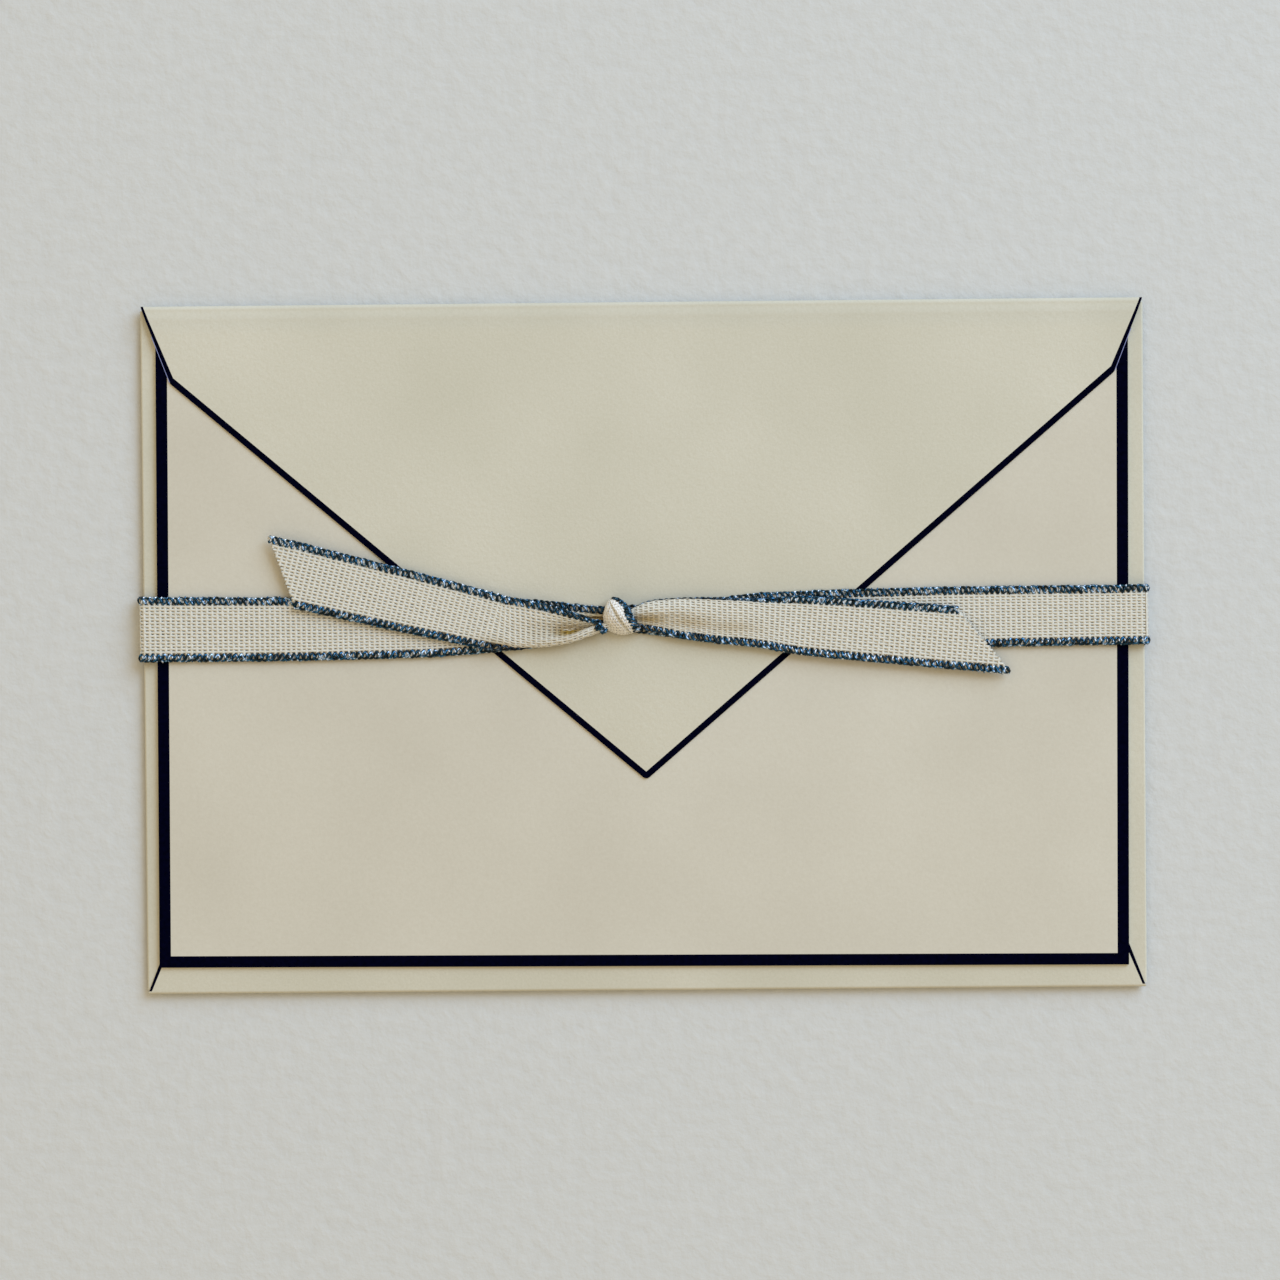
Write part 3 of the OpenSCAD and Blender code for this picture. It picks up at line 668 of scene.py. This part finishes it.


# Painted shade on the paper against y, in metres: a little darker at the tip and under the top fold, with a
# faint bluish painted light just below the fold
flapPaintedShade = [(-0.022, (0.965, 0.955, 0.935)), (0.0, (0.985, 0.98, 0.97)), (0.03, (1, 1, 1)),
            (0.0494, (1, 1, 1)), (0.051, (0.975, 0.985, 1)), (0.0524, (0.955, 0.952, 0.95)),
            (0.0536, (0.985, 0.985, 0.985))]


# Multiplies the painted shade along y into the paper's colour
def paintedShadeByPlace(tree, colour, paintedShadeAlongY):
    place = tree.nodes.new("ShaderNodeTexCoord").outputs["Object"]
    parts = tree.nodes.new("ShaderNodeSeparateXYZ")
    tree.links.new(place, parts.inputs[0])
    low, high = paintedShadeAlongY[0][0], paintedShadeAlongY[-1][0]
    share = mathNode(tree, "DIVIDE", mathNode(tree, "SUBTRACT", parts.outputs["Y"], low), high - low)
    tint = rampNode(tree, share, [((y - low) / (high - low), tone) for y, tone in paintedShadeAlongY])
    return mixNode(tree, 1.0, colour, tint, "MULTIPLY")


envelopeLook = {
    "stops": [(0.3, (200, 197, 178)), (0.7, (216, 213, 197))], "fibre": 2600.0, "tooth": 900.0,
    "roughness": 0.85, "specular": 0.25, "bump": 0.5, "bumpDepth": 0.0001, "paintedShadeAlongY": flapPaintedShade,
}
cardLook = {
    "stops": [(0.3, (202, 197, 181)), (0.7, (214, 210, 195))], "fibre": 2200.0, "tooth": 700.0,
    "roughness": 0.85, "specular": 0.25, "bump": 0.3, "bumpDepth": 0.0001,
}


def paperMaterial(name, look):
    material, tree, shader = newMaterial(name, look)
    fibres = groupNode(tree, paperFibre, {"Fibre Scale": look["fibre"], "Tooth Scale": look["tooth"]})
    colour = stopsColour(tree, fibres.outputs["Tone"], look)
    if "paintedShadeAlongY" in look:
        colour = paintedShadeByPlace(tree, colour, look["paintedShadeAlongY"])
    tree.links.new(colour, shader.inputs["Base Color"])
    bumpNode(tree, shader, fibres.outputs["Height"], look)
    return material


inkLook = {
    "stops": [(0.3, (2, 3, 15)), (0.75, (5, 6, 30))], "scale": 1500.0,
    "roughness": 0.8, "specular": 0.0, "bump": 0.2, "bumpDepth": 0.0001,
}


def inkMaterial():
    material, tree, shader = newMaterial("borderInk", inkLook)
    blot = grainTone(tree, inkLook)
    tree.links.new(stopsColour(tree, blot, inkLook), shader.inputs["Base Color"])
    bumpNode(tree, shader, blot, inkLook)
    return material


# Mixes the painted shade colour and the painted highlight colour into a thread's colour by its shade
def shaded(tree, colour, look):
    node = groupNode(tree, threadShade, {"Painted Shade Colour": (*screen(*look["deep"]), 1),
                                         "Painted Highlight Colour": (*screen(*look["paintedHighlight"]), 1)})
    tree.links.new(colour, node.inputs["Colour"])
    return node.outputs["Colour"]


# The tape's golden colour is painted shade for its hollows and undersides, and its near-white is painted
# highlight
tapeLook = {
    "stops": [(0.3, (209, 206, 192)), (0.7, (228, 226, 215))], "deep": (160, 128, 34),
    "paintedHighlight": (250, 249, 245), "scale": 900.0, "detail": 4.0, "rough": 0.7, "stretch": (1.0, 4.0, 4.0),
    "roughness": 0.8, "specular": 0.2, "sheen": 0.15, "bump": 0.3, "bumpDepth": 0.0001,
}


def tapeMaterial():
    material, tree, shader = newMaterial("ribbonWeave", tapeLook)
    strand = grainTone(tree, tapeLook)
    colour = shaded(tree, stopsColour(tree, strand, tapeLook), tapeLook)
    tree.links.new(colour, shader.inputs["Base Color"])
    shader.inputs["Sheen Weight"].default_value = tapeLook["sheen"]
    bumpNode(tree, shader, strand, tapeLook)
    return material


# Painted glints: the grain lays pale patches into the metallic threads' base colour, beside their painted
# shade and painted highlight colours
glint = {
    "scale": 1200.0, "detail": 1.5, "deep": (2, 10, 20), "paintedHighlight": (120, 170, 220),
    "roughness": 0.32, "specular": 0.5, "bump": 0.6, "bumpDepth": 0.0002,
}
chainLook = {
    **glint, "metallic": 0.6,
    "stops": [(0.42, (2, 30, 38)), (0.52, (8, 62, 84)), (0.6, (40, 116, 166)), (0.65, (196, 224, 250))],
}
coverLook = {
    **glint, "metallic": 0.4,
    "stops": [(0.4, (8, 54, 78)), (0.5, (60, 128, 174)), (0.57, (240, 246, 252))],
}


def metallicMaterial(name, look):
    material, tree, shader = newMaterial(name, look)
    spark = grainTone(tree, look)
    tree.links.new(shaded(tree, stopsColour(tree, spark, look), look), shader.inputs["Base Color"])
    bumpNode(tree, shader, spark, look)
    return material


envelopePaper = paperMaterial("envelopePaper", envelopeLook)
cardStock = paperMaterial("cardStock", cardLook)
borderInk = inkMaterial()
ribbonWeave = tapeMaterial()
metallicThread = metallicMaterial("metallicThread", chainLook)
coverThread = metallicMaterial("coverThread", coverLook)


# Paper nodes keep their solids and get their finishes

for nodeName, material in [("envelope", envelopePaper), ("flap_borders", borderInk),
                           ("note_card", cardStock), ("card_border", borderInk)]:
    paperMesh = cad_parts[nodeName].data
    paperMesh.materials.clear()
    paperMesh.materials.append(material)
print("paper dressed")


# Painted highlight on the cut edge of the flap: a pale bluish sliver where light catches the bare paper
# between the two printed lines at the shoulders
edgeHighlight = {
    "ends": [((-76.71, 49.3), (-73.95, 42.1)), ((76.63, 49.2), (74.07, 42.65))],
    "width": 0.09, "below": 0.19, "above": 0.006, "stops": [(0.3, (136, 144, 191)), (0.7, (150, 158, 205))],
    "scale": 1400.0, "roughness": 0.85, "specular": 0.1,
}


def edgeHighlightMaterial():
    material, tree, shader = newMaterial("paintedEdgeHighlight", edgeHighlight)
    tree.links.new(stopsColour(tree, grainTone(tree, edgeHighlight), edgeHighlight), shader.inputs["Base Color"])
    return material


def flapEdgeHighlight():
    corners = [(0, 1, 3, 2), (4, 6, 7, 5), (0, 4, 5, 1), (2, 3, 7, 6), (1, 5, 7, 3), (0, 2, 6, 4)]
    points, quads = [], []
    for (x0, y0), (x1, y1) in edgeHighlight["ends"]:
        side = 1 if x0 > 0 else -1
        over = np.array([y0 - y1, x1 - x0]) / math.hypot(x1 - x0, y1 - y0) * side
        base = len(points)
        for x, y in ((x0, y0), (x1, y1)):
            for out in (0.0, edgeHighlight["width"]):
                for z in (flapTop - edgeHighlight["below"], flapTop + edgeHighlight["above"]):
                    points.append((x + over[0] * out, y + over[1] * out, z))
        quads += [tuple(base + c for c in corner) for corner in corners]
    piece = makeObject("flapEdgeHighlight", points, quads, np.ones(len(points)), edgeHighlightMaterial(), False)
    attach(piece, "root")


flapEdgeHighlight()
print("cut edge done")


# Ribbon in real threads: each run has its strip, its painted shade, where it starts, where its
# warp ends at each w, its last weft, how far the wefts cross it and which way is out

def loopRun():
    end = loopLength - knot["from"]
    return {"strip": loopStrip, "paintedShade": loopPaintedShade, "start": knot["from"],
            "ends": lambda w: np.full(np.shape(w), end), "last": end, "span": fullWidth, "outward": -1}


def tailRun(tail, paintedShade, outward):
    last = tail["reach"] + abs(tail["slant"]) / 2 - weave["cutGap"]
    return {"strip": tailStrip(tail), "paintedShade": paintedShade, "start": knot["from"],
            "ends": lambda w: tailEnd(tail, w), "last": last, "span": cutRange(tail), "outward": outward}


def wrapRun():
    end = wrap["length"]
    return {"strip": wrapStrip, "paintedShade": wrapPaintedLight, "start": 0.0,
            "ends": lambda w: np.full(np.shape(w), end), "last": end, "span": fullWidth, "outward": 1}


loop, left, right = loopRun(), tailRun(leftTail, leftPaintedShade, -1), tailRun(rightTail, rightPaintedShade, 1)
tapeRuns = [loop, left, right, wrapRun()]
warpParts = [warpTubes(run["strip"], run["paintedShade"], run["start"], run["ends"], run["outward"])
             for run in tapeRuns]
weftParts = [weftTubes(run["strip"], run["paintedShade"], run["start"] + weave["firstWeft"], run["last"],
                       run["span"], run["outward"]) for run in tapeRuns]
ribbonWarp = makeObject("ribbonWarp", *joined(warpParts), ribbonWeave)
ribbonWeft = makeObject("ribbonWeft", *joined(weftParts), ribbonWeave)
print("woven tape done", *(2 * len(tape.data.polygons) for tape in (ribbonWarp, ribbonWeft)))


def edgingPiece(name, side):
    cut = side * edging["cutAt"]
    runs = [(run["strip"], run["paintedShade"], run["start"], float(run["ends"](cut)), run["outward"])
            for run in (loop, left, right)]
    if side > 0:
        runs.append((wrapStrip, edgingPaintedLight, wrap["edgeIn"], wrap["length"] - wrap["edgeIn"], 1))
        runs.append((hookStrip, edgingPaintedLight, hook["from"], hook["to"], 1))
    chain, cover = [], []
    for strip, paintedShade, start, end, outward in runs:
        for phase in (0, math.pi):
            chain.append(edgingStrand(strip, paintedShade, start, end, side, outward, phase, "chain"))
        phase = edging["cover"]["phase"]
        cover.append(edgingStrand(strip, paintedShade, start, end, side, outward, phase, "cover"))
    points, quads, shade = joined(chain + cover)
    piece = makeObject(name, points, quads, shade, metallicThread)
    piece.data.materials.append(coverThread)
    chainQuads = sum(len(part[1]) for part in chain)
    piece.data.polygons.foreach_set("material_index", (np.arange(len(quads)) >= chainQuads).astype(int))
    print(name, len(quads) * 2)
    return piece


edgingUpper = edgingPiece("edgingUpper", 1)
edgingLower = edgingPiece("edgingLower", -1)

for piece, node, slotName in [(ribbonWarp, "ribbon_tape", "ribbon_weave"),
                              (ribbonWeft, "ribbon_tape", "ribbon_weave"),
                              (edgingUpper, "ribbon_edging_upper", "metallic_thread"),
                              (edgingLower, "ribbon_edging_lower", "metallic_thread")]:
    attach(piece, "root")
    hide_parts(node)


# Floor, lamp, room light and camera, in metres and degrees
studio = {
    "floor": 1.6, "lampPlace": (1.15, 1.15, 1.12), "lampSize": 1.44, "lampPower": 39.5,
    "lampColour": (0.478, 0.694, 1.0), "worldStrength": 0.67, "worldColour": (1.0, 0.828, 0.575),
    "camera": (0.00295, 0.00734, 0.45), "cameraTurn": (-0.806, 0.441, -0.505), "lens": 80.3, "sensor": 36,
}
floorLook = {
    "stops": [(0.3, (208, 210, 208)), (0.7, (212, 214, 212))], "scale": 420.0, "rough": 0.55,
    "roughness": 0.95, "specular": 0.1, "bump": 0.35, "bumpDepth": 0.0006,
}


def floorMaterial():
    material, tree, shader = newMaterial("paleFloor", floorLook)
    rough = grainTone(tree, floorLook)
    tree.links.new(stopsColour(tree, rough, floorLook), shader.inputs["Base Color"])
    bumpNode(tree, shader, rough, floorLook)
    return material


def placeFloor():
    size = studio["floor"]
    mesh = bpy.data.meshes.new("floor")
    mesh.from_pydata([(-size, -size, 0), (size, -size, 0), (size, size, 0), (-size, size, 0)], [],
                     [(0, 1, 2, 3)])
    mesh.materials.append(floorMaterial())
    floor = bpy.data.objects.new("floor", mesh)
    bpy.context.scene.collection.objects.link(floor)


def placeLight():
    lampData = bpy.data.lights.new("softLamp", "AREA")
    lampData.size = studio["lampSize"]
    lampData.energy = studio["lampPower"]
    lampData.color = studio["lampColour"]
    lamp = bpy.data.objects.new("softLamp", lampData)
    lamp.location = studio["lampPlace"]
    x, y, z = -np.array(studio["lampPlace"])   # it looks at the middle of the part
    lamp.rotation_euler = (math.atan2(math.hypot(x, y), -z), 0, math.atan2(y, x) - math.pi / 2)
    bpy.context.scene.collection.objects.link(lamp)

    world = bpy.data.worlds.new("room")
    world.use_nodes = True
    background = world.node_tree.nodes["Background"]
    background.inputs["Color"].default_value = (*studio["worldColour"], 1)
    background.inputs["Strength"].default_value = studio["worldStrength"]
    bpy.context.scene.world = world


def placeCamera():
    cameraData = bpy.data.cameras.new("camera")
    cameraData.lens = studio["lens"]
    cameraData.sensor_width = studio["sensor"]
    camera = bpy.data.objects.new("camera", cameraData)
    camera.location = studio["camera"]
    camera.rotation_euler = [math.radians(a) for a in studio["cameraTurn"]]
    bpy.context.scene.collection.objects.link(camera)
    bpy.context.scene.camera = camera


placeFloor()
placeLight()
placeCamera()
bpy.context.scene.view_settings.view_transform = "Standard"
print("studio done")
